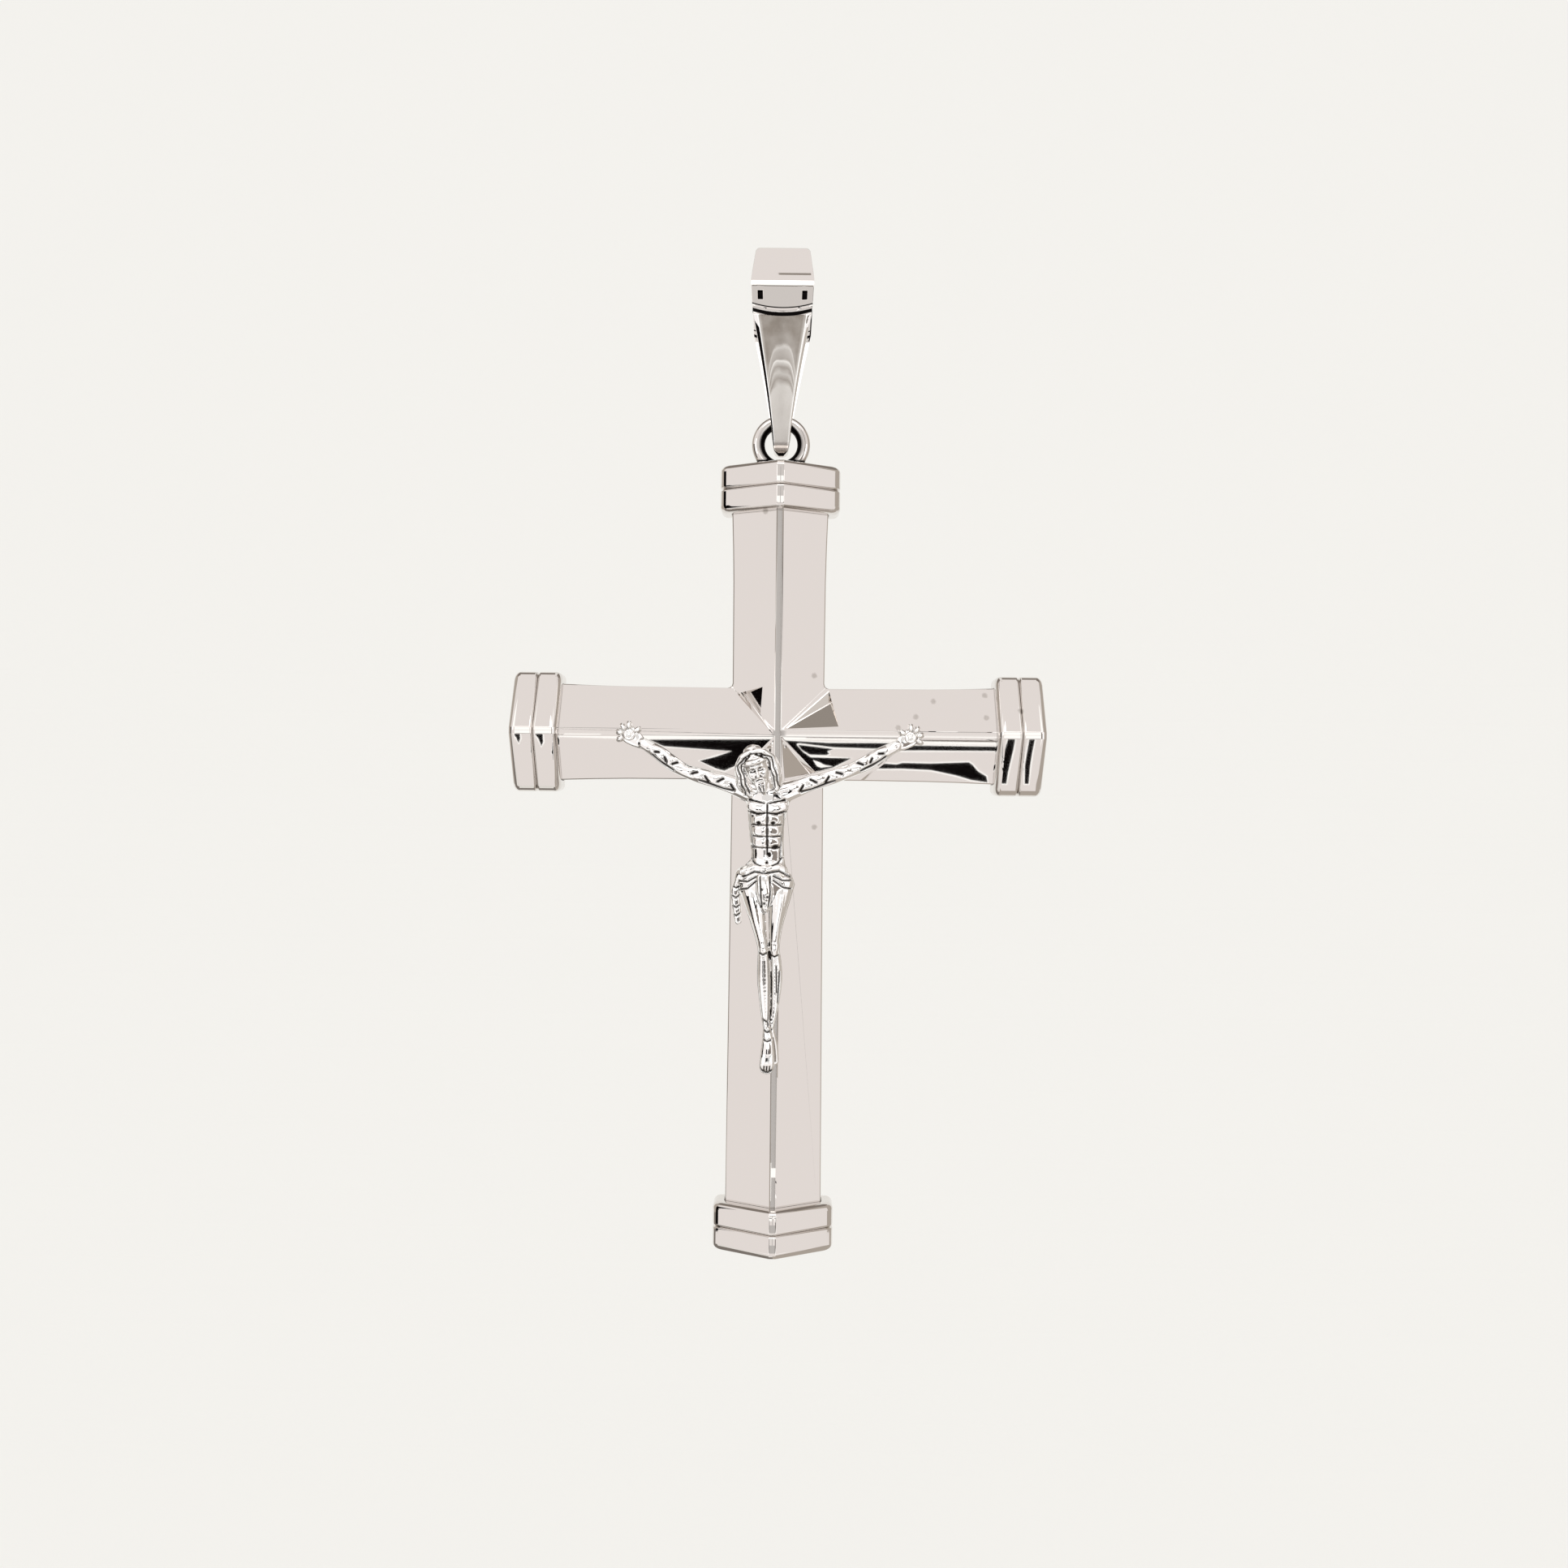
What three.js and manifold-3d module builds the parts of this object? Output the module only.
// Crucifix pendant: a struck roof-shaped cross with ribbed end caps, a cast figure, and a
// tapered bail that swings on a ring soldered to the top cap.
// Millimetres, +Z up, the front faces -Y, +X is the viewer's right.
// The origin is the chain seat: the inside top of the bail.

import * as THREE from 'three';
import Module from 'manifold-3d';
import { mergeVertices } from 'three/addons/utils/BufferGeometryUtils.js';

const wasm = await Module();
wasm.setup();

// Cross, measured from the middle of the crossing
const reachTop = 16.5;
const reachBottom = 31.75;
const reachSide = 16.25;
const armWidth = 5.66;
const armFlare = 0.14;
const cornerRadius = 0.3;

// Depth of the cross, back face to ridge
const crossDepth = 3.3;
const ridgeWidth = 0.4;
const roofPitch = THREE.MathUtils.degToRad(33);
const shellWall = 0.4;
const plateThickness = 0.4;

// Ribbed end caps
const capLength = 2.95;
const capProud = 0.72;
const capEndWall = 0.5;
const capRound = 0.4;
const grooveWidth = 0.36;
const grooveDepth = 0.18;
const fit = 0.04;

// Bright-cut grooves on the diagonals of the crossing
const cutDepth = 0.42;

// Ring on the top cap
const ringOuter = 3.6;
const ringWire = 0.8;
const ringSink = 0.5;

// Bail
const bailDrop = 9.7;
const bailDepth = 6.6;
const bailBand = 0.7;
const bailTopFlat = 2.4;
const bailTopWidth = 3.26;
const collarWidth = 3.78;
const collarFootWidth = 3.6;
const collarTop = 1.8;
const collarBevel = 0.3;
const collarFoot = 3.8;
const collarStep = 0.24;
const bailWaistWidth = 1.59;
const bailWaistDrop = 8.3;
const tipWidth = 0.94;
const tipBand = 0.6;
const tipReach = 11.85;
const eyeRadius = 0.45;
const scoopDepth = 0.16;

// Figure and its pins
const figureHeight = 20;
const figureGap = 0.03;
const pinHead = 0.72;
const pinHeadRise = 0.2;
const pinShank = 0.3;
const pinReach = 0.9;
const handAcrossLeft = 8.95;
const handAcrossRight = 8.0;
const handDrop = 0.2;
const palmThickness = 0.5;

// Overrun of every cut past the face that it opens
const overrun = 1;

// Numbers of steps on curves
const filletSteps = 3;
const flareSteps = 5;
const ringSteps = 36;
const wireSteps = 12;
const ribSteps = 5;
const bendSteps = 10;
const limbSides = 10;
const fingerSides = 6;
const pinSides = 14;

// Worked out from the driving sizes
const halfArm = armWidth / 2;
const halfEnd = halfArm + armFlare;
const halfRidge = ridgeWidth / 2;
const slope = Math.tan(roofPitch);
const backFace = crossDepth / 2;
const ridgeFace = -crossDepth / 2;
const shellBack = backFace - plateThickness;
const ringMean = (ringOuter - ringWire) / 2;
const ringCentre = -bailDrop - ringMean;
const capTopFace = ringCentre - ringOuter / 2 + ringSink;
const crossingHeight = capTopFace - reachTop;

const arms = [
  { turn: 0, reach: reachSide },
  { turn: Math.PI / 2, reach: reachTop },
  { turn: Math.PI, reach: reachSide },
  { turn: -Math.PI / 2, reach: reachBottom },
];

function solidOf(geometry) {
  const bare = geometry.index ? geometry.toNonIndexed() : geometry.clone();
  bare.deleteAttribute('normal');
  bare.deleteAttribute('uv');
  const merged = mergeVertices(bare);
  return new wasm.Manifold(new wasm.Mesh({
    numProp: 3,
    vertProperties: Float32Array.from(merged.attributes.position.array),
    triVerts: Uint32Array.from(merged.index.array),
  }));
}

function geometryOf(solid) {
  const mesh = solid.getMesh();
  const geometry = new THREE.BufferGeometry();
  geometry.setAttribute('position', new THREE.Float32BufferAttribute(mesh.vertProperties, 3));
  geometry.setIndex(Array.from(mesh.triVerts));
  geometry.computeVertexNormals();
  return geometry;
}

function joined(solids) {
  return solids.reduce((whole, next) => whole.add(next));
}

// A picture-plane outline (x, z), made solid from the depth `front` back to the depth `back`
function picturePlate(shape, front, back) {
  const geometry = new THREE.ExtrudeGeometry(shape, { depth: back - front, bevelEnabled: false });
  geometry.rotateX(Math.PI / 2);
  geometry.translate(0, back, 0);
  return solidOf(geometry);
}

// A side-view outline (y, z), made solid to both sides of x = 0
function sidePlate(shape, width) {
  const geometry = new THREE.ExtrudeGeometry(shape, { depth: width, bevelEnabled: false });
  geometry.translate(0, 0, -width / 2);
  geometry.applyMatrix4(new THREE.Matrix4().makeBasis(
    new THREE.Vector3(0, 1, 0), new THREE.Vector3(0, 0, 1), new THREE.Vector3(1, 0, 0)));
  return solidOf(geometry);
}

// A closed skin over a row of rings with the same number of points, with flat fans at its ends
function loft(rings) {
  const sides = rings[0].length;
  const points = rings.flat();
  const faces = [];
  for (let ring = 0; ring < rings.length - 1; ring += 1) {
    for (let side = 0; side < sides; side += 1) {
      const here = ring * sides + side;
      const beside = ring * sides + (side + 1) % sides;
      faces.push([here, beside, beside + sides], [here, beside + sides, here + sides]);
    }
  }
  for (const [ring, turned] of [[0, true], [rings.length - 1, false]]) {
    const middle = new THREE.Vector3();
    rings[ring].forEach((point) => middle.addScaledVector(point, 1 / sides));
    points.push(middle);
    for (let side = 0; side < sides; side += 1) {
      const here = ring * sides + side;
      const beside = ring * sides + (side + 1) % sides;
      faces.push(turned ? [beside, here, points.length - 1] : [here, beside, points.length - 1]);
    }
  }
  const volume = faces.reduce((sum, [a, b, c]) => sum + points[a].dot(
    new THREE.Vector3().crossVectors(points[b], points[c])), 0);
  const index = faces.flatMap(([a, b, c]) => (volume > 0 ? [a, b, c] : [a, c, b]));
  const geometry = new THREE.BufferGeometry();
  geometry.setAttribute('position', new THREE.Float32BufferAttribute(
    points.flatMap((point) => point.toArray()), 3));
  geometry.setIndex(index);
  return solidOf(geometry);
}

function halfSpaceBox(size, centre) {
  const geometry = new THREE.BoxGeometry(size.x, size.y, size.z);
  geometry.translate(centre.x, centre.y, centre.z);
  return solidOf(geometry);
}

// Outline of the cross in its plane. The arms widen towards their caps, and run on straight
// inside them. `inset` moves every edge inwards, and `shortening` is the distance from the
// reach of each arm to its cut end.
function crossOutline(inset, shortening) {
  const points = [];
  for (const arm of arms) {
    const mouth = arm.reach - capLength;
    const start = halfArm + cornerRadius;
    const end = arm.reach - shortening - inset;
    const place = (along, across) => points.push(new THREE.Vector2(
      along * Math.cos(arm.turn) - across * Math.sin(arm.turn),
      along * Math.sin(arm.turn) + across * Math.cos(arm.turn)));
    const edge = [];
    for (let step = 1; step <= flareSteps; step += 1) {
      const part = step / flareSteps;
      edge.push([start + (mouth - start) * part, halfArm + armFlare * part ** 3 - inset]);
    }
    if (end > mouth) edge.push([end, halfEnd - inset]);
    edge.forEach(([along, across]) => place(along, -across));
    edge.reverse().forEach(([along, across]) => place(along, across));
    for (let step = 0; step <= filletSteps; step += 1) {
      const angle = -Math.PI / 2 * (1 + step / filletSteps);
      place(start + (cornerRadius + inset) * Math.cos(angle),
        start + (cornerRadius + inset) * Math.sin(angle));
    }
  }
  return new THREE.Shape(points);
}

// House-shaped section of an arm (across, depth), grown by `proud` on its sides and roof
function houseSection(halfWidth, proud, back) {
  const eave = halfWidth + proud;
  const ridge = ridgeFace - proud / Math.cos(roofPitch);
  const eaveFace = ridge + slope * (eave - halfRidge);
  return [
    new THREE.Vector2(-eave, back),
    new THREE.Vector2(eave, back),
    new THREE.Vector2(eave, eaveFace),
    new THREE.Vector2(halfRidge, ridge),
    new THREE.Vector2(-halfRidge, ridge),
    new THREE.Vector2(-eave, eaveFace),
  ];
}

// A long gabled bar along Z, or along X when it is turned
function gabledBar(drop, back, turned) {
  const section = houseSection(halfEnd + overrun, 0, back);
  section.filter((point) => point.y < back).forEach((point) => point.setY(point.y + drop));
  const length = 2 * (reachBottom + overrun);
  const geometry = new THREE.ExtrudeGeometry(new THREE.Shape(section),
    { depth: length, bevelEnabled: false });
  geometry.translate(0, 0, -length / 2);
  if (turned) geometry.rotateY(Math.PI / 2);
  return solidOf(geometry);
}

// Each groove is a kite: it opens from a tip near the middle, is widest at two wings, one on
// the crossbar's roof and one on the upright's, and runs out at a heel by the inner corner.
// Places are shares of half the arm's width, across and up.
const grooveShares = [
  { side: [1, 1], tip: [0.17, 0.1], barWing: [1.3, 0.16], postWing: [1.12, 0.96], heel: [1.4, 0.84] },
  { side: [-1, 1], tip: [0.2, 0.13], barWing: [0.9, 0.86], postWing: [0.34, 1], heel: [0.8, 0.94] },
  { side: [1, -1], tip: [0.14, 0.2], barWing: [0.9, 0.78], postWing: [0.16, 0.96], heel: [0.76, 0.92] },
  { side: [-1, -1], tip: [0.16, 0.2], barWing: [0.9, 0.72], postWing: [0.24, 1], heel: [0.8, 0.94] },
];
const grooveReachShare = 1.5;

function grooveCut(groove, drop) {
  const onRoof = ([acrossShare, upShare], sink) => {
    const across = acrossShare * halfArm;
    const up = upShare * halfArm;
    const fall = slope * Math.max(Math.min(across, up) - halfRidge, 0);
    return new THREE.Vector3(groove.side[0] * across, ridgeFace + fall + sink + drop,
      groove.side[1] * up);
  };
  const tip = onRoof(groove.tip, 0);
  const heel = onRoof(groove.heel, cutDepth);
  const wings = [groove.barWing, groove.postWing].map((wing) => onRoof(wing, 0)
    .sub(heel).multiplyScalar(grooveReachShare).add(heel));
  const corners = [tip, heel, ...wings];
  const faces = [[0, 1, 2], [0, 2, 3], [0, 3, 1], [1, 3, 2]];
  const middle = new THREE.Vector3();
  corners.forEach((corner) => middle.addScaledVector(corner, 1 / corners.length));
  const index = faces.flatMap(([a, b, c]) => {
    const normal = new THREE.Vector3().crossVectors(
      corners[b].clone().sub(corners[a]), corners[c].clone().sub(corners[a]));
    return normal.dot(corners[a].clone().sub(middle)) > 0 ? [a, b, c] : [a, c, b];
  });
  const geometry = new THREE.BufferGeometry();
  geometry.setAttribute('position', new THREE.Float32BufferAttribute(
    corners.flatMap((corner) => corner.toArray()), 3));
  geometry.setIndex(index);
  return solidOf(geometry);
}

// The relief of the cross, or of the hollow behind it: the same roofs and grooves, with the
// edges moved in by `inset` and the roofs moved back by `drop`
function crossRelief(inset, drop, back) {
  const body = picturePlate(crossOutline(inset, capEndWall + fit), ridgeFace - overrun, back);
  const roofs = gabledBar(drop, back, false).add(gabledBar(drop, back, true));
  const grooves = joined(grooveShares.map((groove) => grooveCut(groove, drop)));
  return body.intersect(roofs).subtract(grooves);
}

function pinPlace(side) {
  const across = side < 0 ? -handAcrossLeft : handAcrossRight;
  return new THREE.Vector3(across, ridgeFace, -handDrop);
}

function pinHole(side, diameter) {
  const place = pinPlace(side);
  const length = 2 * (palmThickness + pinReach + overrun);
  const geometry = new THREE.CylinderGeometry(diameter / 2, diameter / 2, length, pinSides);
  geometry.translate(place.x, place.y, place.z);
  return solidOf(geometry);
}

function makeFrontShell() {
  const hollow = crossRelief(shellWall, shellWall / Math.cos(roofPitch), shellBack + overrun);
  const struck = crossRelief(0, 0, shellBack).subtract(hollow);
  return struck.subtract(pinHole(-1, pinShank + 2 * fit)).subtract(pinHole(1, pinShank + 2 * fit));
}

function makeBackPlate() {
  return picturePlate(crossOutline(0, capLength + fit), shellBack, backFace);
}

// Profile of a cap along its arm, as [along, proud of the arm]: two ribs side by side, round
// at the ends of the cap and with small round shoulders where they meet
function capProfile() {
  const half = [];
  for (let step = 0; step <= ribSteps; step += 1) {
    const angle = Math.PI / 2 * step / ribSteps;
    half.push([capRound * (1 - Math.cos(angle)), capProud - capRound * (1 - Math.sin(angle))]);
  }
  for (let step = 0; step < ribSteps; step += 1) {
    const angle = Math.PI / 2 * step / ribSteps;
    half.push([(capLength - grooveWidth + grooveWidth * Math.sin(angle)) / 2,
      capProud - grooveDepth * (1 - Math.cos(angle))]);
  }
  const otherHalf = half.map(([along, proud]) => [capLength - along, proud]).reverse();
  return [...half, [capLength / 2, capProud - grooveDepth], ...otherHalf];
}

// End cap along +Z with its mouth at z = 0: two ribs over a plain socket
function makeCap() {
  const rings = capProfile().map(([along, proud]) => houseSection(halfEnd, proud, backFace)
    .map((point) => new THREE.Vector3(point.x, point.y, along)));
  const socketSection = houseSection(halfEnd, fit, shellBack + fit);
  const socketEnd = capLength - capEndWall;
  const socket = loft([-overrun, socketEnd].map((height) => socketSection
    .map((point) => new THREE.Vector3(point.x, point.y, height))));
  return loft(rings).subtract(socket);
}

// Ring of round wire in the picture plane, cut flat where it is soldered to the cap
function makeTopRing() {
  const wire = new THREE.Path();
  wire.absarc(ringMean, 0, ringWire / 2, 0, 2 * Math.PI);
  const geometry = new THREE.LatheGeometry(wire.getPoints(wireSteps), ringSteps);
  const keep = halfSpaceBox(
    new THREE.Vector3(2 * ringOuter, 2 * ringOuter, 2 * ringOuter),
    new THREE.Vector3(0, 0, ringOuter / 2 + ringSink));
  return solidOf(geometry).intersect(keep);
}

// Where a straight run from (across, height) meets a round end of the given radius about
// (0, roundHeight), as an angle from the across direction
function tangentAngle(across, height, roundHeight, radius) {
  const distance = Math.hypot(across, height - roundHeight);
  return Math.atan2(height - roundHeight, across) - Math.acos(radius / distance);
}

const tipCentre = -tipReach + eyeRadius + tipBand;

// Side view of the bail, right half of an outline given from its top down to its round end
function bailLoop(halfPoints, endRadius) {
  const [lastAcross, lastHeight] = halfPoints[halfPoints.length - 1];
  const angle = tangentAngle(lastAcross, lastHeight, tipCentre, endRadius);
  const round = [];
  for (let step = 0; step <= bendSteps; step += 1) {
    const turn = angle + (-Math.PI / 2 - angle) * step / bendSteps;
    round.push([endRadius * Math.cos(turn), tipCentre + endRadius * Math.sin(turn)]);
  }
  const right = [...halfPoints, ...round];
  const left = right.slice(0, -1).reverse().map(([across, height]) => [-across, height]);
  return new THREE.Shape([...right, ...left].map(([across, height]) => (
    new THREE.Vector2(across, height))));
}

// Front view of the bail: collar, then two hollow-curved edges down to a round tip
function bailFront() {
  const shape = new THREE.Shape();
  const roundHeight = -tipReach + tipWidth / 2;
  shape.moveTo(-bailTopWidth / 2, bailBand + overrun);
  shape.lineTo(-bailTopWidth / 2, bailBand);
  shape.lineTo(-collarWidth / 2, -collarTop);
  shape.lineTo(-collarFootWidth / 2, -collarFoot);
  shape.quadraticCurveTo(-bailWaistWidth / 2, -bailWaistDrop, -tipWidth / 2, roundHeight);
  shape.absarc(0, roundHeight, tipWidth / 2, Math.PI, 2 * Math.PI);
  shape.quadraticCurveTo(bailWaistWidth / 2, -bailWaistDrop, collarFootWidth / 2, -collarFoot);
  shape.lineTo(collarWidth / 2, -collarTop);
  shape.lineTo(bailTopWidth / 2, bailBand);
  shape.lineTo(bailTopWidth / 2, bailBand + overrun);
  return shape;
}

// Widths of the hollow in each arm of the bail, in shares of the collar's foot, from the top
// of the arm down, and the share of the arm that it runs along
const scoopWidthShares = [0.8, 0.66, 0.5, 0.36, 0.24];
const scoopRunShare = 0.86;

// Hollow cut along the face of one arm of the bail, narrowing with the arm
function bailScoop(side) {
  const topAcross = bailDepth / 2 - collarStep;
  const outerRadius = eyeRadius + tipBand;
  const angle = tangentAngle(topAcross, -collarFoot, tipCentre, outerRadius);
  const top = new THREE.Vector2(topAcross, -collarFoot);
  const outward = new THREE.Vector2(Math.cos(angle), Math.sin(angle));
  const foot = new THREE.Vector2(0, tipCentre).addScaledVector(outward, outerRadius);
  const rings = scoopWidthShares.map((widthShare, row) => {
    const part = scoopRunShare * row / (scoopWidthShares.length - 1);
    const middle = top.clone().lerp(foot, part);
    const half = collarFootWidth / 2 * widthShare;
    const ring = [];
    const place = (across, sink) => {
      const sunk = middle.clone().addScaledVector(outward, -sink);
      ring.push(new THREE.Vector3(across, side * sunk.x, sunk.y));
    };
    for (let step = 0; step <= bendSteps; step += 1) {
      const across = half * (2 * step / bendSteps - 1);
      place(across, scoopDepth * (1 - (across / half) ** 2));
    }
    place(half, -overrun);
    place(-half, -overrun);
    return ring;
  });
  return loft(rings);
}

// How far the collar's bevel leans in, outside and inside, in shares of its height, and how
// far the flat top is narrower inside, in shares of the band
const bevelLeanShare = 1 / 3;
const innerBevelShare = 1 / 2;
const innerTopShare = 1 / 3;

function makeBail() {
  const half = bailDepth / 2;
  const outer = bailLoop([
    [bailTopFlat / 2, bailBand],
    [half - collarBevel * bevelLeanShare, -collarTop],
    [half, -collarTop - collarBevel],
    [half, -collarFoot],
    [half - collarStep, -collarFoot],
  ], eyeRadius + tipBand);
  const inner = bailLoop([
    [bailTopFlat / 2 - bailBand * innerTopShare, 0],
    [half - bailBand, -collarTop - collarBevel * innerBevelShare],
    [half - bailBand, -collarFoot],
  ], eyeRadius);
  const width = collarWidth + overrun;
  const band = sidePlate(outer, width).subtract(sidePlate(inner, width + overrun));
  const front = picturePlate(bailFront(), -bailDepth, bailDepth);
  return band.intersect(front).subtract(bailScoop(-1)).subtract(bailScoop(1));
}

// Round ends of a limb, as [width, push along the limb], in shares of the end's own section
const domeShares = [[0.95, 0.32], [0.62, 0.78]];

// A rounded limb: oval sections square to a smooth line through the given stations. Each
// station is [across, out, up, half width, half thickness]. Across and up run from the middle
// of the crossing, out from the ridge.
function limb(stations, sides) {
  const spine = new THREE.CatmullRomCurve3(stations.map(([across, out, up]) => (
    new THREE.Vector3(across, ridgeFace - out, up))));
  const girth = new THREE.CatmullRomCurve3(stations.map((row) => (
    new THREE.Vector3(row[3], row[4], 0))));
  const steps = 2 * (stations.length - 1);
  const rings = [];
  const addRing = (part, push, shrinkShare) => {
    const centre = spine.getPoint(part);
    const along = spine.getTangent(part);
    const size = girth.getPoint(part);
    const side = new THREE.Vector3().crossVectors(along, new THREE.Vector3(0, 1, 0)).normalize();
    const out = new THREE.Vector3().crossVectors(side, along);
    centre.addScaledVector(along, push * Math.min(size.x, size.y));
    const ring = [];
    for (let step = 0; step < sides; step += 1) {
      const angle = 2 * Math.PI * step / sides;
      ring.push(centre.clone()
        .addScaledVector(side, size.x * shrinkShare * Math.cos(angle))
        .addScaledVector(out, size.y * shrinkShare * Math.sin(angle)));
    }
    rings.push(ring);
  };
  [...domeShares].reverse().forEach(([width, push]) => addRing(0, -push, width));
  for (let step = 0; step <= steps; step += 1) addRing(step / steps, 0, 1);
  domeShares.forEach(([width, push]) => addRing(1, push, width));
  return loft(rings);
}

// The same, from a table in shares of the figure's height
function figureLimb(stationShares, sides = limbSides) {
  return limb(stationShares.map((row) => row.map((share) => share * figureHeight)), sides);
}

const torsoShares = [
  [-0.031, 0.05, -0.162, 0.03, 0.026],
  [-0.031, 0.046, -0.18, 0.07, 0.034],
  [-0.031, 0.048, -0.212, 0.074, 0.044],
  [-0.031, 0.048, -0.262, 0.066, 0.044],
  [-0.03, 0.044, -0.32, 0.055, 0.038],
  [-0.027, 0.038, -0.37, 0.044, 0.032],
  [-0.025, 0.04, -0.42, 0.052, 0.036],
  [-0.025, 0.042, -0.475, 0.062, 0.038],
];
const chestShares = [
  [
    [-0.094, 0.062, -0.212, 0.02, 0.02],
    [-0.06, 0.074, -0.226, 0.03, 0.024],
    [-0.036, 0.068, -0.232, 0.022, 0.022],
  ],
  [
    [0.032, 0.062, -0.212, 0.02, 0.02],
    [-0.002, 0.074, -0.226, 0.03, 0.024],
    [-0.026, 0.068, -0.232, 0.022, 0.022],
  ],
];
const clothShares = [
  [-0.026, 0.044, -0.425, 0.062, 0.044],
  [-0.026, 0.048, -0.455, 0.082, 0.05],
  [-0.024, 0.05, -0.5, 0.088, 0.052],
  [-0.026, 0.056, -0.54, 0.07, 0.044],
];
const clothKnotShares = [
  [-0.03, 0.082, -0.44, 0.02, 0.016],
  [-0.028, 0.094, -0.475, 0.028, 0.02],
  [-0.026, 0.1, -0.52, 0.024, 0.016],
  [-0.03, 0.1, -0.558, 0.013, 0.01],
];
const clothEndShares = [
  [-0.098, 0.05, -0.445, 0.018, 0.02],
  [-0.112, 0.042, -0.48, 0.022, 0.022],
  [-0.114, 0.034, -0.53, 0.02, 0.018],
  [-0.112, 0.028, -0.585, 0.018, 0.014],
];
const legShares = [
  [
    [-0.068, 0.045, -0.47, 0.042, 0.04],
    [-0.056, 0.066, -0.555, 0.036, 0.036],
    [-0.04, 0.082, -0.628, 0.026, 0.028],
    [-0.04, 0.07, -0.665, 0.024, 0.026],
    [-0.042, 0.058, -0.73, 0.027, 0.027],
    [-0.036, 0.044, -0.84, 0.019, 0.02],
    [-0.028, 0.038, -0.915, 0.015, 0.016],
  ],
  [
    [0.02, 0.045, -0.47, 0.042, 0.04],
    [0.014, 0.062, -0.555, 0.036, 0.036],
    [-0.002, 0.074, -0.628, 0.026, 0.028],
    [0.002, 0.06, -0.665, 0.024, 0.026],
    [0.003, 0.04, -0.73, 0.026, 0.026],
    [-0.006, 0.026, -0.84, 0.018, 0.019],
    [-0.014, 0.02, -0.91, 0.015, 0.016],
  ],
];
const footShares = [
  [
    [-0.027, 0.04, -0.915, 0.016, 0.018],
    [-0.023, 0.052, -0.955, 0.02, 0.017],
    [-0.021, 0.04, -1.0, 0.022, 0.013],
    [-0.021, 0.032, -1.03, 0.018, 0.008],
  ],
  [
    [-0.015, 0.02, -0.91, 0.016, 0.016],
    [-0.012, 0.02, -0.955, 0.018, 0.014],
    [-0.012, 0.016, -1.005, 0.018, 0.01],
  ],
];
// Each arm runs from its shoulder, given as [across, up], to its pin. An arm's station is
// [share of that run, sag below the straight run, out, half width, half thickness], the last
// four in shares of the figure's height.
const shoulderShares = [[-0.075, -0.182], [0.015, -0.182]];
const armShares = [
  [
    [0, 0, 0.05, 0.03, 0.03],
    [0.148, 0.0134, 0.048, 0.026, 0.026],
    [0.376, 0.0286, 0.042, 0.023, 0.023],
    [0.564, 0.035, 0.037, 0.019, 0.019],
    [0.725, 0.0187, 0.033, 0.02, 0.018],
    [0.9, 0.0087, 0.024, 0.014, 0.013],
  ],
  [
    [0, 0, 0.05, 0.03, 0.03],
    [0.156, 0.0028, 0.048, 0.026, 0.026],
    [0.35, 0.0083, 0.042, 0.023, 0.023],
    [0.538, 0.0255, 0.038, 0.019, 0.019],
    [0.727, 0.0211, 0.033, 0.02, 0.018],
    [0.9, 0.009, 0.024, 0.014, 0.013],
  ],
];

function armLimb(stationShares, place) {
  const [shoulderAcross, shoulderUp] = shoulderShares[place].map((share) => share * figureHeight);
  const pin = pinPlace(place ? 1 : -1);
  return limb(stationShares.map(([runShare, sagShare, outShare, wideShare, thickShare]) => [
    shoulderAcross + (pin.x - shoulderAcross) * runShare,
    outShare * figureHeight,
    shoulderUp + (pin.z - shoulderUp) * runShare - sagShare * figureHeight,
    wideShare * figureHeight,
    thickShare * figureHeight,
  ]), limbSides);
}

const neckShares = [
  [-0.032, 0.055, -0.175, 0.024, 0.024],
  [-0.038, 0.075, -0.148, 0.022, 0.022],
];

// The head bows forward and leans to the viewer's left. The face is plain and calm.
const headShares = [
  [-0.06, 0.078, -0.062, 0.024, 0.024],
  [-0.056, 0.086, -0.078, 0.039, 0.038],
  [-0.05, 0.092, -0.1, 0.044, 0.043],
  [-0.043, 0.098, -0.126, 0.04, 0.038],
  [-0.036, 0.1, -0.152, 0.029, 0.027],
  [-0.031, 0.1, -0.172, 0.016, 0.016],
];
const hairShares = [
  [
    [-0.07, 0.082, -0.068, 0.022, 0.03],
    [-0.094, 0.082, -0.098, 0.02, 0.03],
    [-0.096, 0.076, -0.136, 0.017, 0.024],
    [-0.082, 0.066, -0.172, 0.014, 0.018],
  ],
  [
    [-0.044, 0.082, -0.066, 0.022, 0.03],
    [-0.014, 0.086, -0.092, 0.018, 0.03],
    [-0.005, 0.08, -0.128, 0.016, 0.024],
    [0.0, 0.068, -0.162, 0.013, 0.018],
  ],
];
const noseShares = [
  [-0.047, 0.136, -0.106, 0.006, 0.006],
  [-0.043, 0.143, -0.124, 0.009, 0.009],
];
// The palm from the wrist past the pin, as [back from the pin, below the pin, half width],
// and how far out the wrist lies and its half thickness
const palmShares = [[0.05, 0.034, 0.013], [0.022, 0.015, 0.026], [-0.012, -0.008, 0.028]];
const wristOutShare = 0.024;
const wristThickShare = 0.012;

// Rise of the forearm's line for each step across, the root of each finger round the palm in
// quarter turns from that line, and a finger's curl as [away from the pin, out, half width]
const forearmRiseShare = 0.66;
const fingerTurnShares = [-0.62, -0.2, 0.22, 0.64, 1.3];
const fingerCurlShares = [[0.026, 0.012, 0.009], [0.037, 0.024, 0.0085], [0.033, 0.038, 0.0075]];

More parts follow.
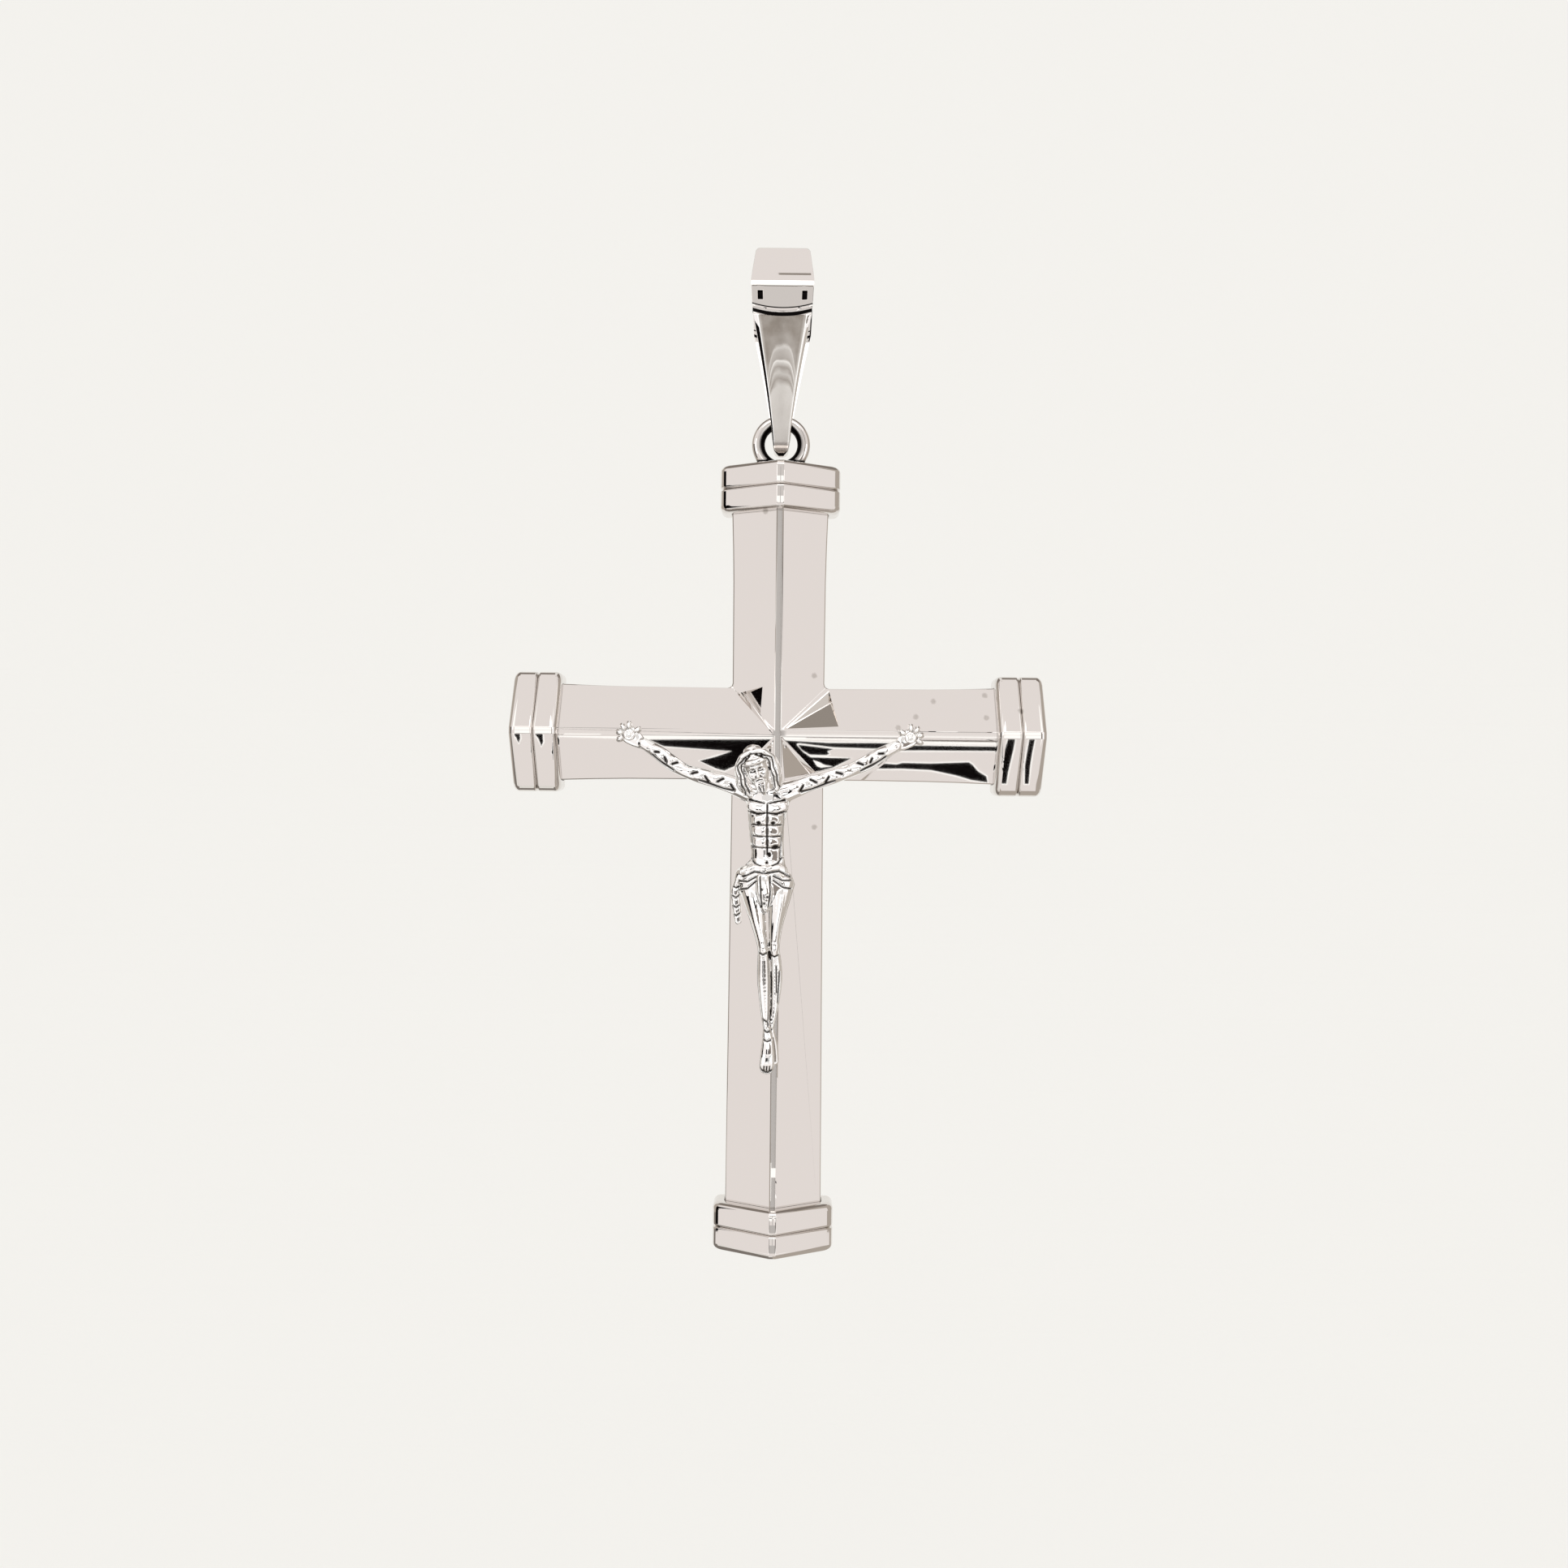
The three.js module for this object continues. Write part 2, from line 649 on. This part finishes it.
// An open palm with its fingers curling round the head of the pin
function hand(side) {
  const pin = pinPlace(side);
  const place = (away, out, below, wide, thick) => [pin.x + away, out, pin.z + below, wide, thick];
  const pad = palmThickness / 2;
  const palm = limb(palmShares.map(([backShare, belowShare, wideShare], row) => place(
    -side * backShare * figureHeight,
    row ? pad : wristOutShare * figureHeight,
    -belowShare * figureHeight,
    wideShare * figureHeight,
    row ? pad : wristThickShare * figureHeight,
  )), limbSides);
  const reachTurn = Math.atan2(forearmRiseShare, side);
  const fingers = fingerTurnShares.map((turnShare) => {
    const turn = reachTurn + side * turnShare * Math.PI / 2;
    return limb(fingerCurlShares.map(([awayShare, outShare, girthShare]) => place(
      awayShare * figureHeight * Math.cos(turn),
      outShare * figureHeight,
      awayShare * figureHeight * Math.sin(turn),
      girthShare * figureHeight,
      girthShare * figureHeight,
    )), fingerSides);
  });
  return joined([palm, ...fingers]);
}

function makeCorpus() {
  const whole = joined([
    figureLimb(torsoShares),
    ...chestShares.map((shares) => figureLimb(shares)),
    figureLimb(clothShares),
    figureLimb(clothKnotShares),
    figureLimb(clothEndShares),
    ...legShares.map((shares) => figureLimb(shares)),
    ...footShares.map((shares) => figureLimb(shares)),
    ...armShares.map(armLimb),
    figureLimb(neckShares),
    figureLimb(headShares),
    ...hairShares.map((shares) => figureLimb(shares)),
    figureLimb(noseShares, fingerSides),
    hand(-1),
    hand(1),
  ]);
  const behind = halfSpaceBox(
    new THREE.Vector3(4 * figureHeight, figureHeight, 4 * figureHeight),
    new THREE.Vector3(0, ridgeFace - figureGap + figureHeight / 2, 0));
  return whole.subtract(behind)
    .subtract(pinHole(-1, pinShank + 2 * fit)).subtract(pinHole(1, pinShank + 2 * fit));
}

// Round-headed pin along -Y, its head resting on the palm and its end inside the shell
function makePin() {
  const headFace = palmThickness + figureGap + fit;
  const profile = [
    new THREE.Vector2(0, -pinReach),
    new THREE.Vector2(pinShank / 2, -pinReach),
    new THREE.Vector2(pinShank / 2, headFace),
  ];
  for (let step = 0; step <= filletSteps; step += 1) {
    const angle = Math.PI / 2 * step / filletSteps;
    profile.push(new THREE.Vector2(
      pinHead / 2 * Math.cos(angle), headFace + pinHeadRise * Math.sin(angle)));
  }
  profile[profile.length - 1].setX(0);
  const geometry = new THREE.LatheGeometry(profile, pinSides);
  geometry.rotateX(Math.PI);
  return solidOf(geometry);
}

const polished = { color: 0xe4e0dc, roughness: 0.08, metalness: 1 };
const bright = { color: 0xeeebe8, roughness: 0.05, metalness: 1 };

function addPiece(group, name, solid, finish) {
  const mesh = new THREE.Mesh(geometryOf(solid), new THREE.MeshStandardMaterial(finish));
  mesh.name = name;
  group.add(mesh);
  return mesh;
}

const pendant = new THREE.Group();
addPiece(pendant, 'bail', makeBail(), polished);

const topRing = addPiece(pendant, 'top_ring', makeTopRing(), polished);
topRing.position.z = ringCentre;

const cross = new THREE.Group();
cross.position.z = crossingHeight;
pendant.add(cross);
addPiece(cross, 'front_shell', makeFrontShell(), polished);
addPiece(cross, 'back_plate', makeBackPlate(), polished);

const capNames = ['cap_right', 'cap_top', 'cap_left', 'cap_bottom'];
arms.forEach((arm, place) => {
  const cap = addPiece(cross, capNames[place], makeCap(), polished);
  const mouth = arm.reach - capLength;
  cap.rotation.y = Math.PI / 2 - arm.turn;
  cap.position.set(mouth * Math.cos(arm.turn), 0, mouth * Math.sin(arm.turn));
});

addPiece(cross, 'corpus', makeCorpus(), bright);
for (const [name, side] of [['hand_pin_left', -1], ['hand_pin_right', 1]]) {
  const pin = addPiece(cross, name, makePin(), bright);
  pin.position.copy(pinPlace(side));
}

export default pendant;
